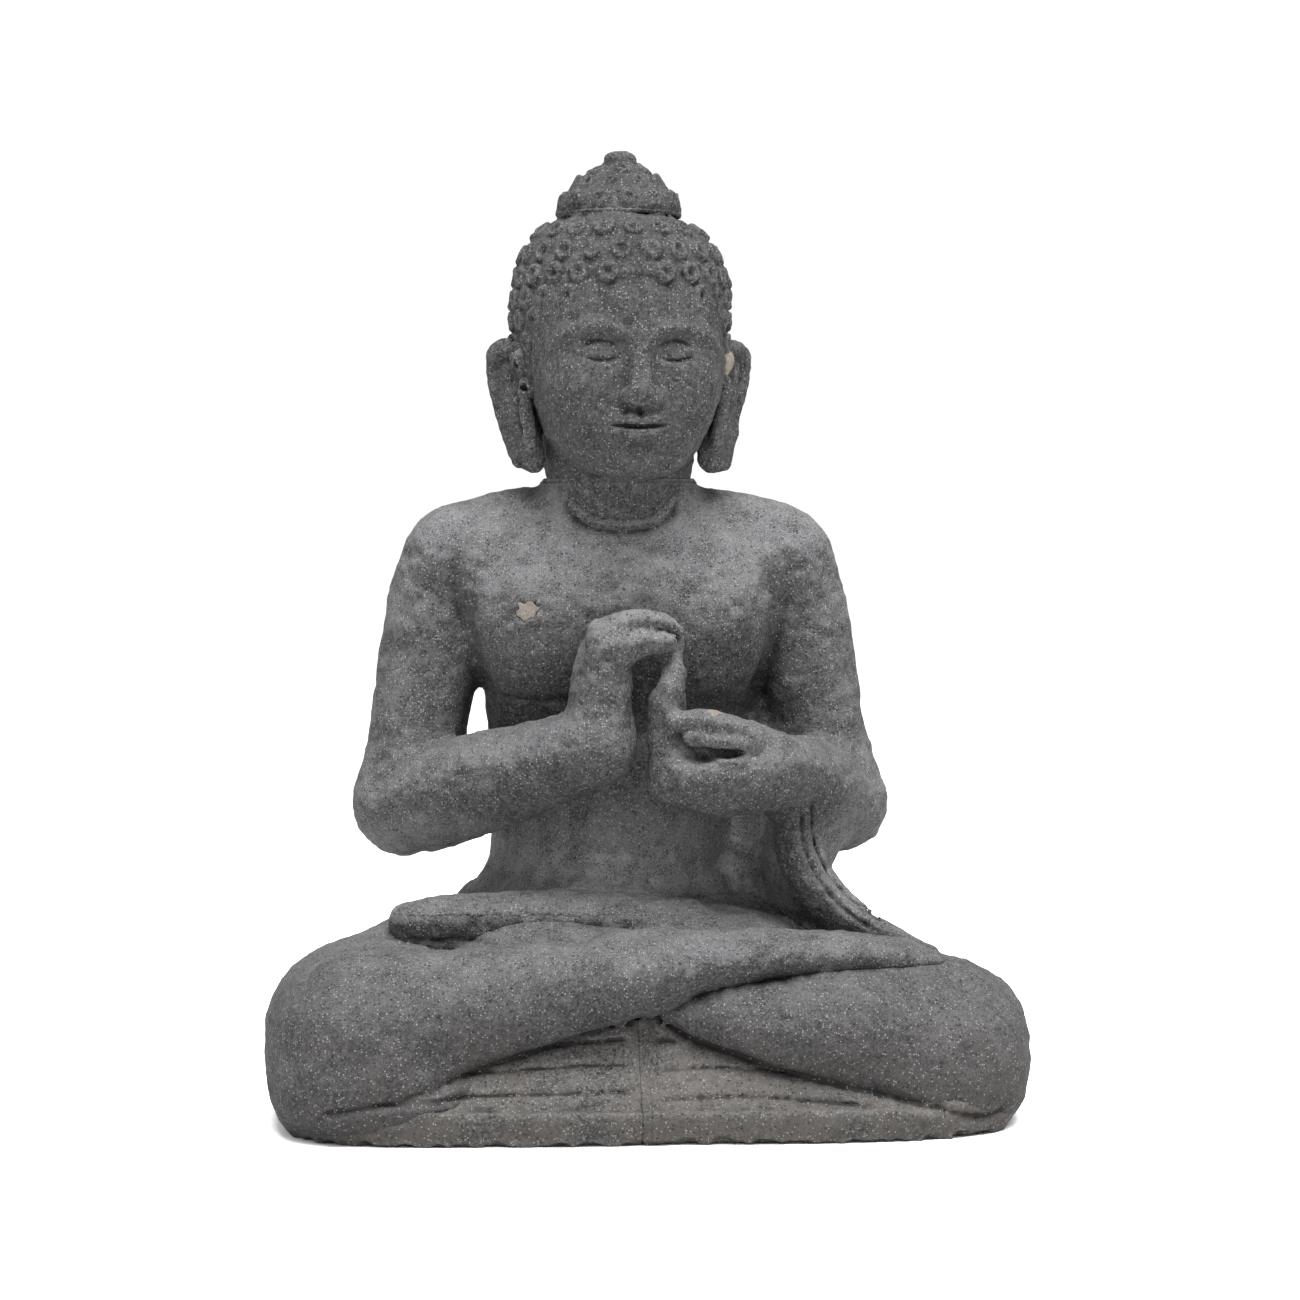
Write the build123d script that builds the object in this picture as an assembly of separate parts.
"""Seated teaching figure in dark lava stone, built from pinned and mortared blocks.

Millimetres, +Z up. The figure faces -Y, its right hand is on the -X side, and the
origin is on the ground under the middle of the seat. A two-part seat slab carries
two lap blocks with crossed legs; torso, forearms, robe fall, head, ears and topknot
are separate stones, each held by steel pins across a thin bed of mortar.
Limb stations are (x, y, z, radius). Their x is measured from the middle of the body;
on the arms and hands z is measured from the neck joint, so it is negative, and on the
legs y is measured back from the front of the seat.
"""

import os

from build123d import *

# ---- driving sizes -------------------------------------------------------------
HEIGHT = 800.0  # ground to the tip of the finial
SEAT_WIDTH = 628.0  # knee to knee
SEAT_DEPTH = 400.0  # shins to the back of the seat
BODY_X = -12.0  # the body sits a little to its own right of the middle of the seat
SLAB_HEIGHT = 28.0
SLAB_INSET = 5.0  # the knees overhang the slab by this much
SLAB_CORNER = 80.0  # straight front edge ends this far in from the slab's side
SLAB_BACK_HALF = 120.0  # half the straight back edge
BED = 3.0  # thickness of every mortar bed between two blocks
SEAM_X = -7.0  # middle of the upright mortar joint between the two slabs
SEAM = 8.0  # its width
WAIST_Z = 175.0  # underside of the torso stone
TOPKNOT_RISE = 52.0  # height of the topknot stone
HEAD_RISE = 224.0  # height of the head stone with the bed above it
LEDGE_Z = HEIGHT - TOPKNOT_RISE  # underside of the topknot stone
NECK_Z = LEDGE_Z - HEAD_RISE  # underside of the head stone

# ---- pins (radius, length) and cramps --------------------------------------------
NECK_PIN = (8.0, 110.0)
TOPKNOT_PIN = (4.0, 44.0)
WAIST_PIN = (8.0, 90.0)
WAIST_PIN_SPREAD = 64.0  # each side of the middle
ELBOW_PIN = (5.0, 60.0)
EAR_PIN = (2.5, 22.0)
EAR_PIN_SPREAD = 11.0  # above and below the middle of the ear's root
LAP_PIN = (6.0, 36.0)
LAP_PIN_INSET = (150.0, 110.0)  # from the slab's side, and from its front or back
ROBE_PIN = (3.0, 26.0)
ROBE_PIN_RISE = 8.0  # the upper pin's middle, above the robe's first station
ROBE_PIN_DROP = 16.0  # the lower pin's middle, below the robe's fourth station
CRAMP_BAR = (110.0, 12.0, 8.0)  # length, width, thickness of a cramp's bar
CRAMP_LEG = 9.0  # how much further its two ends reach up
CRAMP_COVER = 1.5  # mortar skin under a cramp
CRAMP_INSET = 130.0  # from the front and the back of the seat

# ---- torso: share of its height, half width, half depth, middle in Y -------------------
TORSO = (
    (0.0, 132.0, 96.0, 50.0),
    (0.05, 122.0, 90.0, 52.0),
    (0.12, 108.0, 80.0, 55.0),
    (0.25, 103.0, 74.0, 53.0),
    (0.40, 108.0, 76.0, 50.0),
    (0.53, 120.0, 82.0, 46.0),
    (0.69, 138.0, 86.0, 43.0),
    (0.80, 156.0, 82.0, 43.0),
    (0.88, 150.0, 70.0, 43.0),
    (0.935, 122.0, 60.0, 42.0),
    (0.97, 84.0, 56.0, 38.0),
    (1.0, 64.0, 52.0, 34.0),
)
SHOULDER = (134.0, 44.0, -72.0, 50.0)
ARM_TOP = (158.0, 43.0, -104.0, 48.0)
ARM_MIDDLE = (170.0, 36.0, -184.0, 43.0)
ELBOW = (184.0, 24.0, -270.0, 44.0)

# ---- head, ears and topknot; head stations as on the torso -------------------------------
HEAD = (
    (0.0, 62.0, 52.0, 32.0),
    (0.04, 60.0, 58.0, 26.0),
    (0.11, 66.0, 76.0, 16.0),
    (0.24, 78.0, 92.0, 14.0),
    (0.43, 85.0, 99.0, 18.0),
    (0.64, 90.0, 99.0, 22.0),
    (0.81, 82.0, 90.0, 26.0),
    (0.92, 66.0, 74.0, 28.0),
    (1.0, 52.0, 56.0, 30.0),
)
CHEEK = 3  # the head station whose front carries the nose
NOSE = (12.0, 22.0, 54.0)  # half width, how far it stands out of the face, length
NOSE_ABOVE_NECK = 60.0
EAR_ROOT = (20.0, 92.0, 24.0, 42.0)  # middle in Y, middle above the neck, width, height
EAR_STAND = 0.5  # the flat seat of an ear stands this far out of the widest hair
EAR_BED = 2.0
EAR_THICK = 13.0
EAR_OUTLINE = ((4.0, 110.0), (26.0, 118.0), (38.0, 98.0), (30.0, 54.0),
               (27.0, 10.0), (9.0, 8.0), (6.0, 56.0))  # Y and height above the neck
TOPKNOT_Y = 30.0
TOPKNOT_STEPS = ((0.0, 55.0), (0.21, 54.0), (0.33, 44.0), (0.62, 32.0),
                 (0.73, 15.0))  # share of its rise, radius
FINIAL_RADIUS = 12.0
FINIAL_CROWN = 4.0  # radius of the finial's blunt tip

# ---- forearms and hands --------------------------------------------------------------
RIGHT_FOREARM = ((-158.0, 2.0, -262.0, 43.0), (-108.0, -38.0, -247.0, 40.0),
                 (-52.0, -82.0, -228.0, 32.0), (-26.0, -98.0, -216.0, 29.0))
LEFT_FOREARM = ((166.0, -2.0, -264.0, 42.0), (148.0, -38.0, -252.0, 36.0),
                (126.0, -74.0, -240.0, 31.0), (106.0, -94.0, -238.0, 30.0))
RIGHT_PALM = ((-24.0, -101.0, -218.0, 28.0), (-22.0, -104.0, -178.0, 23.0),
              (-15.0, -105.0, -138.0, 20.0))
RIGHT_FINGERS = (((-16.0, -112.0, -124.0, 12.0), (10.0, -114.0, -116.0, 10.0),
                  (35.0, -113.0, -122.0, 8.0)),
                 ((-14.0, -112.0, -138.0, 12.0), (8.0, -116.0, -133.0, 10.0),
                  (30.0, -116.0, -132.0, 8.0)),
                 ((-12.0, -94.0, -122.0, 12.0), (20.0, -92.0, -124.0, 10.0),
                  (38.0, -92.0, -146.0, 8.0)))
LEFT_PALM = ((108.0, -94.0, -238.0, 31.0), (78.0, -98.0, -248.0, 33.0),
             (46.0, -98.0, -248.0, 27.0))
LEFT_THUMB = ((38.0, -106.0, -228.0, 15.0), (29.0, -109.0, -189.0, 12.0),
              (33.0, -109.0, -160.0, 9.0))
LEFT_INDEX = ((98.0, -110.0, -212.0, 13.0), (66.0, -117.0, -198.0, 11.5),
              (31.0, -117.0, -196.0, 9.0))
LEFT_LOW_FINGER = ((94.0, -114.0, -232.0, 12.0), (68.0, -126.0, -224.0, 11.0),
                   (46.0, -126.0, -220.0, 9.0))

# ---- lap: y is measured back from the front of the seat --------------------------------
HIP = (80.0, 296.0, 104.0, 82.0)
KNEE_INSET = 86.0  # middle of the knee, in from the side of the seat
KNEE = (122.0, 78.0, 78.0)  # y, z and radius where the thigh meets the knee
KNEE_CAP = (106.0, 76.0)  # y and z of the knee cap's middle
KNEE_CAP_RADII = (78.0, 94.0, 70.0)
RIGHT_SHIN = ((-232.0, 120.0, 78.0, 70.0), (-130.0, 72.0, 102.0, 56.0),
              (-20.0, 58.0, 130.0, 44.0), (90.0, 72.0, 148.0, 32.0),
              (190.0, 88.0, 148.0, 24.0), (236.0, 94.0, 139.0, 14.0))
LEFT_SHIN = ((236.0, 116.0, 72.0, 66.0), (130.0, 68.0, 84.0, 48.0),
             (46.0, 50.0, 98.0, 28.0))
LEFT_FOOT = ((40.0, 142.0, 150.0, 30.0), (-60.0, 134.0, 158.0, 27.0),
             (-150.0, 138.0, 154.0, 22.0), (-190.0, 142.0, 150.0, 14.0))
PELVIS = ((12.0, 150.0, 100.0), (60.0, 172.0, 112.0), (100.0, 176.0, 114.0),
          (140.0, 160.0, 104.0), (184.0, 112.0, 78.0))  # z, half width, half depth
PELVIS_INSET = 2.0  # the pelvis stays this far inside the back of the seat
COLUMN_MARGIN = 6.0  # the flat top of the lap shows this much round the torso
ROOM_MARGIN = 12.0  # the legs are dressed back this far round the torso
CORE_FOOT_Z = 12.0
FRONT_CORE = (140.0, 84.0, 130.0)  # half width, half depth and top of the stone in front
FRONT_CORE_Y = 160.0  # its middle, back from the front of the seat
ROBE_HEAD = ((134.0, -62.0, -274.0, 19.0), (138.0, -58.0, -302.0, 20.0))
ROBE_FOOT = ((150.0, -50.0, 21.0, 23.0), (178.0, -48.0, 3.0, 21.0),
             (212.0, -58.0, -15.0, 13.0))  # z from the waist joint
HEM_HALF_WIDTH = 226.0
HEM_TOP_HALF_WIDTH = 40.0
HEM_TOP_Z = 96.0
HEM_SETBACK = 6.0  # hem panel behind the slab's front edge
HEM_LEAN = 14.0  # how far the top of the hem panel leans back
HEM_THICK = 46.0

# ---- filled pits ------------------------------------------------------------------------
CHEST_PIT = (-72.0, -31.0, -116.0, 11.0)  # middle on the stone's face, and radius
FINGER_PIT_RADIUS = 5.0

FRONT = -SEAT_DEPTH / 2
BACK = SEAT_DEPTH / 2
HALF_WIDTH = SEAT_WIDTH / 2


# ---- shared shapes ---------------------------------------------------------------------
def largest(shape):
    """The one solid of a shape that matters, without loose slivers."""
    return Part() + max(shape.solids(), key=lambda piece: piece.volume)


def cut(shape, *tools):
    """A shape without its tools, as one solid."""
    for tool in tools:
        shape = Part() + (shape - tool)
    return largest(shape)


def stack(stations, low, high):
    """A closed solid through level ellipses between two heights."""
    return loft([Pos(BODY_X, y, low + share * (high - low)) * Ellipse(a, b)
                 for share, a, b, y in stations])


def limb(stations, middle_x=BODY_X):
    """A tapering round limb through its stations, with rounded-off ends."""
    points = [Vector(x + middle_x, y, z) for x, y, z, _ in stations]
    radii = [station[3] for station in stations]
    first = (points[1] - points[0]).normalized()
    last = (points[-1] - points[-2]).normalized()
    cap_reach = 0.8  # share of the radius by which a rounded end stands out
    cap_size = 0.45  # share of the radius that is left at its tip
    rings = [Plane(points[0] - first * radii[0] * cap_reach, z_dir=first)
             * Circle(radii[0] * cap_size)]
    for i, (point, radius) in enumerate(zip(points, radii)):
        along = points[min(i + 1, len(points) - 1)] - points[max(i - 1, 0)]
        rings.append(Plane(point, z_dir=along) * Circle(radius))
    rings.append(Plane(points[-1] + last * radii[-1] * cap_reach, z_dir=last)
                 * Circle(radii[-1] * cap_size))
    return loft(rings)


def from_neck(stations):
    """Stations whose z is given from the neck joint."""
    return tuple((x, y, NECK_Z + z, r) for x, y, z, r in stations)


def from_front(stations):
    """Stations whose y is given back from the front of the seat."""
    return tuple((x, FRONT + y, z, r) for x, y, z, r in stations)


def ball(centre, radii):
    """A ball stretched to three radii."""
    return Pos(*centre) * scale(Sphere(1.0), by=radii)


def pin(centre, direction, size):
    """A round pin about its middle."""
    radius, length = size
    return Plane(centre, z_dir=direction) * Cylinder(radius, length)


def beyond(point, normal):
    """Everything on the far side of a plane."""
    reach = 3 * HEIGHT
    return Plane(point, z_dir=normal) * Pos(0, 0, reach / 2) * Box(reach, reach, reach)


def side_of(sign):
    """Everything on one side of the middle of the body."""
    return beyond((BODY_X, 0, 0), (sign, 0, 0))


# ---- seat slabs --------------------------------------------------------------------------
def seat_outline():
    """The slab's plan: a straight front, round corners and a rounded back."""
    half = HALF_WIDTH - SLAB_INSET
    widest_y = FRONT + 110.0
    ends = ((half - SLAB_CORNER, FRONT), (half, widest_y), (SLAB_BACK_HALF, BACK))
    edges = [Line((-ends[0][0], FRONT), ends[0]),
             Spline(ends[0], ends[1], tangents=((1, 0), (0, 1))),
             Spline(ends[1], ends[2], tangents=((0, 1), (-1, 0))),
             Line(ends[2], (-ends[2][0], BACK)),
             Spline((-ends[2][0], BACK), (-half, widest_y), tangents=((-1, 0), (0, -1))),
             Spline((-half, widest_y), (-ends[0][0], FRONT), tangents=((0, -1), (1, 0)))]
    return make_face(Curve() + edges)


def hem_panel():
    """The raised fan of the robe's hem that closes the space under the shins."""
    middle_y = FRONT + HEM_SETBACK + HEM_THICK / 2
    low = Pos(BODY_X, middle_y, SLAB_HEIGHT) * Rectangle(2 * HEM_HALF_WIDTH, HEM_THICK)
    high = Pos(BODY_X, middle_y + HEM_LEAN, HEM_TOP_Z) * Rectangle(
        2 * HEM_TOP_HALF_WIDTH, HEM_THICK)
    return loft([low, high])


def seat_base():
    """Both slabs and the hem panel in one, before they are parted."""
    return extrude(seat_outline(), SLAB_HEIGHT) + hem_panel()


def seat_slabs(base):
    """The two slabs and the upright mortar joint between them."""
    right = base & beyond((SEAM_X - SEAM / 2, 0, 0), (-1, 0, 0))
    left = base & beyond((SEAM_X + SEAM / 2, 0, 0), (1, 0, 0))
    joint = base & Pos(SEAM_X, 0, 0) * Box(SEAM, 3 * SEAT_DEPTH, 3 * HEIGHT)
    return right, left, joint


def cramp(y):
    """A flat steel cramp let into the underside across the joint of the slabs."""
    length, width, thick = CRAMP_BAR
    bar = Pos(SEAM_X, y, CRAMP_COVER + thick / 2) * Box(length, width, thick)
    for sign in (-1, 1):
        bar += Pos(SEAM_X + sign * (length - width) / 2, y,
                   CRAMP_COVER + (thick + CRAMP_LEG) / 2) * Box(width, width, thick + CRAMP_LEG)
    return bar


# ---- lap -----------------------------------------------------------------------------------
def thigh(sign):
    """A thigh from the hip to the knee, with the knee cap."""
    hip_x, hip_y, hip_z, hip_r = HIP
    knee_y, knee_z, knee_r = KNEE
    knee_x = HALF_WIDTH - KNEE_INSET
    middle = ((hip_x + knee_x) / 2, (hip_y + knee_y) / 2, (hip_z + knee_z) / 2,
              (hip_r + knee_r) / 2)
    stations = [(sign * x, FRONT + y, z, r) for x, y, z, r in
                ((hip_x, hip_y, hip_z, hip_r), middle, (knee_x, knee_y, knee_z, knee_r))]
    cap_y, cap_z = KNEE_CAP
    cap_x = sign * (HALF_WIDTH - KNEE_CAP_RADII[0])
    return limb(stations, 0.0) + ball((cap_x, FRONT + cap_y, cap_z), KNEE_CAP_RADII)


def torso_plan(margin):
    """The outline of the torso's underside, grown by a margin."""
    _, half_width, half_depth, y = TORSO[0]
    return Pos(BODY_X, y) * Ellipse(half_width + margin, half_depth + margin)


def lap_core():
    """The pelvis, and the core that the torso stands on."""
    widest = max(depth for _, _, depth in PELVIS)
    middle_y = BACK - PELVIS_INSET - widest
    pelvis = loft([Pos(BODY_X, middle_y, z) * Ellipse(a, b) for z, a, b in PELVIS])
    column = Pos(0, 0, CORE_FOOT_Z) * extrude(torso_plan(COLUMN_MARGIN), WAIST_Z - CORE_FOOT_Z)
    half_width, half_depth, top = FRONT_CORE
    front = Pos(BODY_X, FRONT + FRONT_CORE_Y, CORE_FOOT_Z) * extrude(
        Ellipse(half_width, half_depth), top - CORE_FOOT_Z)
    return pelvis + column + front


def lap_blocks():
    """Right and left lap block: each leg with its half of the pelvis."""
    torso_room = Pos(0, 0, WAIST_Z - BED) * extrude(torso_plan(ROOM_MARGIN), HEIGHT)
    ground = beyond((0, 0, SLAB_HEIGHT), (0, 0, -1))
    core = lap_core()
    right = thigh(-1) + limb(from_front(RIGHT_SHIN)) + limb(from_front(LEFT_FOOT))
    right = right + (core & side_of(-1))
    left = thigh(1) + limb(from_front(LEFT_SHIN))
    left = left + (core & side_of(1))
    left = cut(left, right)
    hem = hem_panel()
    return cut(right, torso_room, ground, hem), cut(left, torso_room, ground, hem)


def lap_pin_places():
    """Middles of the four pins between the slabs and the lap."""
    inset_x, inset_y = LAP_PIN_INSET
    return [Vector(sx * (HALF_WIDTH - inset_x), sy * (BACK - inset_y), SLAB_HEIGHT)
            for sx in (-1, 1) for sy in (-1, 1)]


# ---- torso and arms ----------------------------------------------------------------------------
def on_side(station, sign):
    """A station of the left arm, moved to the side that sign gives."""
    x, y, z, r = station
    return sign * x, y, NECK_Z + z, r


def elbow_plane(sign, forearm):
    """Middle and direction of an elbow joint, halving the bend of the arm."""
    elbow = Vector(*on_side(ELBOW, sign)[:3])
    upper = (elbow - Vector(*on_side(ARM_MIDDLE, sign)[:3])).normalized()
    lower = (Vector(*from_neck(forearm)[1][:3]) - elbow).normalized()
    return elbow + Vector(BODY_X, 0, 0), (upper + lower).normalized()


def upper_arm(sign, forearm):
    """An upper arm from inside the shoulder down to its elbow joint."""
    stations = [on_side(s, sign) for s in (SHOULDER, ARM_TOP, ARM_MIDDLE, ELBOW)]
    middle, direction = elbow_plane(sign, forearm)
    return limb(stations) - beyond(middle - direction * (BED / 2), direction)


def forearm_whole(sign, forearm):
    """A forearm that starts inside the elbow, before the joint is cut."""
    return limb((on_side(ELBOW, sign),) + from_neck(forearm))


def forearm_block(sign, forearm, hand):
    """A forearm with its hand, from the elbow joint on."""
    middle, direction = elbow_plane(sign, forearm)
    arm = forearm_whole(sign, forearm) & beyond(middle + direction * (BED / 2), direction)
    for stations in hand:
        arm = arm + limb(from_neck(stations))
    return largest(arm)


def elbow_bed(sign, forearm):
    """The mortar across an elbow."""
    middle, direction = elbow_plane(sign, forearm)
    bed = Plane(middle, z_dir=direction) * Box(3 * ELBOW[3], 3 * ELBOW[3], BED)
    return largest(forearm_whole(sign, forearm) & bed)


def elbow_pin(sign, forearm):
    """The pin across an elbow."""
    middle, direction = elbow_plane(sign, forearm)
    return pin(middle, direction, ELBOW_PIN)


# ---- head ------------------------------------------------------------------------------------------
def nose():
    """A plain wedge from the brow to the tip."""
    half_width, out, length = NOSE
    _, _, half_depth, middle_y = HEAD[CHEEK]
    face_y = middle_y - half_depth
    low = NECK_Z + NOSE_ABOVE_NECK
    tip = Pos(BODY_X, face_y, low) * Ellipse(half_width, out)
    brow = Pos(BODY_X, face_y + out / 2, low + length) * Ellipse(half_width / 2, out / 2)
    return loft([tip, brow])


def ear_face():
    """Distance of the ears' flat seats from the middle of the head."""
    return max(half_width for _, half_width, _, _ in HEAD) + EAR_STAND


def ear_root(sign, start, end):
    """A block of the ear root's outline between two distances from the middle."""
    y, z, width, height = EAR_ROOT
    return Pos(BODY_X + sign * (start + end) / 2, y, NECK_Z + z) * Box(
        end - start, width, height)


def head_block():
    """Neck, face and hair, with a flat seat for each ear."""
    head = stack(HEAD, NECK_Z, LEDGE_Z - BED) + nose()
    for sign in (-1, 1):
        head = head + ear_root(sign, ear_face() / 2, ear_face())
    return head


def ear(sign):
    """A long ear with a hanging lobe."""
    outline = Plane.YZ * make_face(Spline(list(EAR_OUTLINE), periodic=True))
    start = BODY_X + sign * (ear_face() + EAR_BED)
    return Pos(start, 0, NECK_Z) * extrude(outline, sign * EAR_THICK)


def ear_pin_places(sign):
    """Middles of the two pins of one ear."""
    y, z, _, _ = EAR_ROOT
    x = BODY_X + sign * (ear_face() + EAR_BED / 2)
    return [Vector(x, y, NECK_Z + z + s * EAR_PIN_SPREAD) for s in (-1, 1)]


def topknot():
    """The stepped dome of hair with its finial."""
    rise = TOPKNOT_RISE
    profile = [(0, 0)] + [(radius, share * rise) for share, radius in TOPKNOT_STEPS]
    profile += [(FINIAL_RADIUS, rise - 6.0), (FINIAL_CROWN, rise), (0, rise)]
    face = Plane.XZ * make_face(Polyline(profile, close=True))
    return Pos(BODY_X, TOPKNOT_Y, LEDGE_Z) * revolve(face, Axis.Z)


# ---- the whole figure ------------------------------------------------------------------------------
def seat_nodes():
    """Slabs, lap blocks and what holds them together."""
    base = seat_base()
    slab_right, slab_left, joint = seat_slabs(base)
    leg_right, leg_left = lap_blocks()
    cramps = [cramp(y) for y in (FRONT + CRAMP_INSET, BACK - CRAMP_INSET)]
    pins = [pin(place, (0, 0, 1), LAP_PIN) for place in lap_pin_places()]
    holes = cramps + pins
    return {
        "seat_slab_right": cut(slab_right, *holes),
        "seat_slab_left": cut(slab_left, *holes),
        "slab_joint_mortar": cut(joint, *cramps),
        "slab_cramps": cramps,
        "right_leg": cut(leg_right, *pins),
        "left_leg": cut(leg_left, *pins),
        "leg_dowels": pins,
    }


def waist_nodes():
    """The bed and the two pins under the torso."""
    y = TORSO[0][3]
    bed = Pos(0, 0, WAIST_Z - BED) * extrude(torso_plan(0.0), BED)
    pins = [pin((BODY_X + s * WAIST_PIN_SPREAD, y, WAIST_Z - BED / 2), (0, 0, 1), WAIST_PIN)
            for s in (-1, 1)]
    return bed, pins


def main():
    """Build every node and write it to its own STEP file."""
    nodes = seat_nodes()

    waist_bed, waist_pins = waist_nodes()
    for name in ("right_leg", "left_leg"):
        nodes[name] = cut(nodes[name], *waist_pins)

    neck_pin = pin((BODY_X, TORSO[-1][3], NECK_Z - BED / 2), (0, 0, 1), NECK_PIN)
    elbow_pins = [elbow_pin(-1, RIGHT_FOREARM), elbow_pin(1, LEFT_FOREARM)]
    x, y, z, radius = from_neck((CHEST_PIT,))[0]
    chest_pit = Pos(x + BODY_X, y, z) * Sphere(radius)
    x, y, z, radius = from_neck(LEFT_INDEX)[1]
    finger_pit = Pos(x + BODY_X, y - radius, z) * Sphere(FINGER_PIT_RADIUS)

    torso = stack(TORSO, WAIST_Z, NECK_Z - BED) + upper_arm(-1, RIGHT_FOREARM) + upper_arm(1, LEFT_FOREARM)
    right = forearm_block(-1, RIGHT_FOREARM, (RIGHT_PALM,) + RIGHT_FINGERS)
    left = forearm_block(1, LEFT_FOREARM,
                         (LEFT_PALM, LEFT_THUMB, LEFT_INDEX, LEFT_LOW_FINGER))
    right = cut(right, torso, nodes["right_leg"], nodes["left_leg"])
    left = cut(left, torso, nodes["left_leg"], right)
    beds = [cut(elbow_bed(-1, RIGHT_FOREARM), elbow_pins[0], torso),
            cut(elbow_bed(1, LEFT_FOREARM), elbow_pins[1], torso)]
    fall = from_neck(ROBE_HEAD) + tuple((x, y, WAIST_Z + z, r) for x, y, z, r in ROBE_FOOT)
    robe = cut(limb(fall), left, torso, nodes["left_leg"], nodes["right_leg"])
    x, y, z, _ = fall[0]
    robe_top = pin((x + BODY_X, y, z + ROBE_PIN_RISE), (0, 0, 1), ROBE_PIN)
    x, y, z, _ = fall[3]
    robe_foot = pin((x + BODY_X, y, z - ROBE_PIN_DROP), (0, 0, 1), ROBE_PIN)
    robe_pins = [robe_top, robe_foot]

    nodes["torso"] = cut(torso, neck_pin, *waist_pins, *elbow_pins, chest_pit)
    nodes["waist_joint_mortar"] = cut(waist_bed, *waist_pins)
    nodes["waist_dowels"] = waist_pins
    nodes["right_forearm"] = cut(right, elbow_pins[0])
    nodes["left_forearm"] = cut(left, elbow_pins[1], robe_top, finger_pit)
    nodes["elbow_mortar"] = beds
    nodes["elbow_dowels"] = elbow_pins
    nodes["robe_fall"] = cut(robe, *robe_pins)
    nodes["robe_pins"] = robe_pins
    nodes["left_leg"] = cut(nodes["left_leg"], robe_foot)
    nodes["chest_patch"] = largest(torso & chest_pit)
    nodes["finger_patch"] = largest(left & finger_pit)

    topknot_pin = pin((BODY_X, TOPKNOT_Y, LEDGE_Z - BED / 2), (0, 0, 1), TOPKNOT_PIN)
    ear_pins = [pin(place, (1, 0, 0), EAR_PIN)
                for sign in (-1, 1) for place in ear_pin_places(sign)]
    _, half_width, half_depth, y = HEAD[0]
    neck_bed = Pos(BODY_X, y, NECK_Z - BED) * extrude(Ellipse(half_width, half_depth), BED)
    _, half_width, half_depth, y = HEAD[-1]
    crown_bed = Pos(BODY_X, y, LEDGE_Z - BED) * extrude(Ellipse(half_width, half_depth), BED)
    nodes["head"] = cut(head_block(), neck_pin, topknot_pin, *ear_pins)
    nodes["neck_joint_mortar"] = cut(neck_bed, neck_pin)
    nodes["neck_dowel"] = neck_pin
    nodes["topknot"] = cut(topknot(), topknot_pin)
    nodes["topknot_mortar"] = cut(crown_bed, topknot_pin)
    nodes["topknot_dowel"] = topknot_pin
    nodes["right_ear"] = cut(ear(-1), *ear_pins)
    nodes["left_ear"] = cut(ear(1), *ear_pins)
    nodes["ear_mortar"] = [cut(ear_root(s, ear_face(), ear_face() + EAR_BED), *ear_pins)
                           for s in (-1, 1)]
    nodes["ear_pins"] = ear_pins

    os.makedirs("parts", exist_ok=True)
    for name, shape in nodes.items():
        pieces = shape if isinstance(shape, list) else [shape]
        solids = [s for piece in pieces for s in piece.solids()]
        export_step(Compound(children=solids) if len(solids) > 1 else solids[0],
                    f"parts/{name}.step")


main()
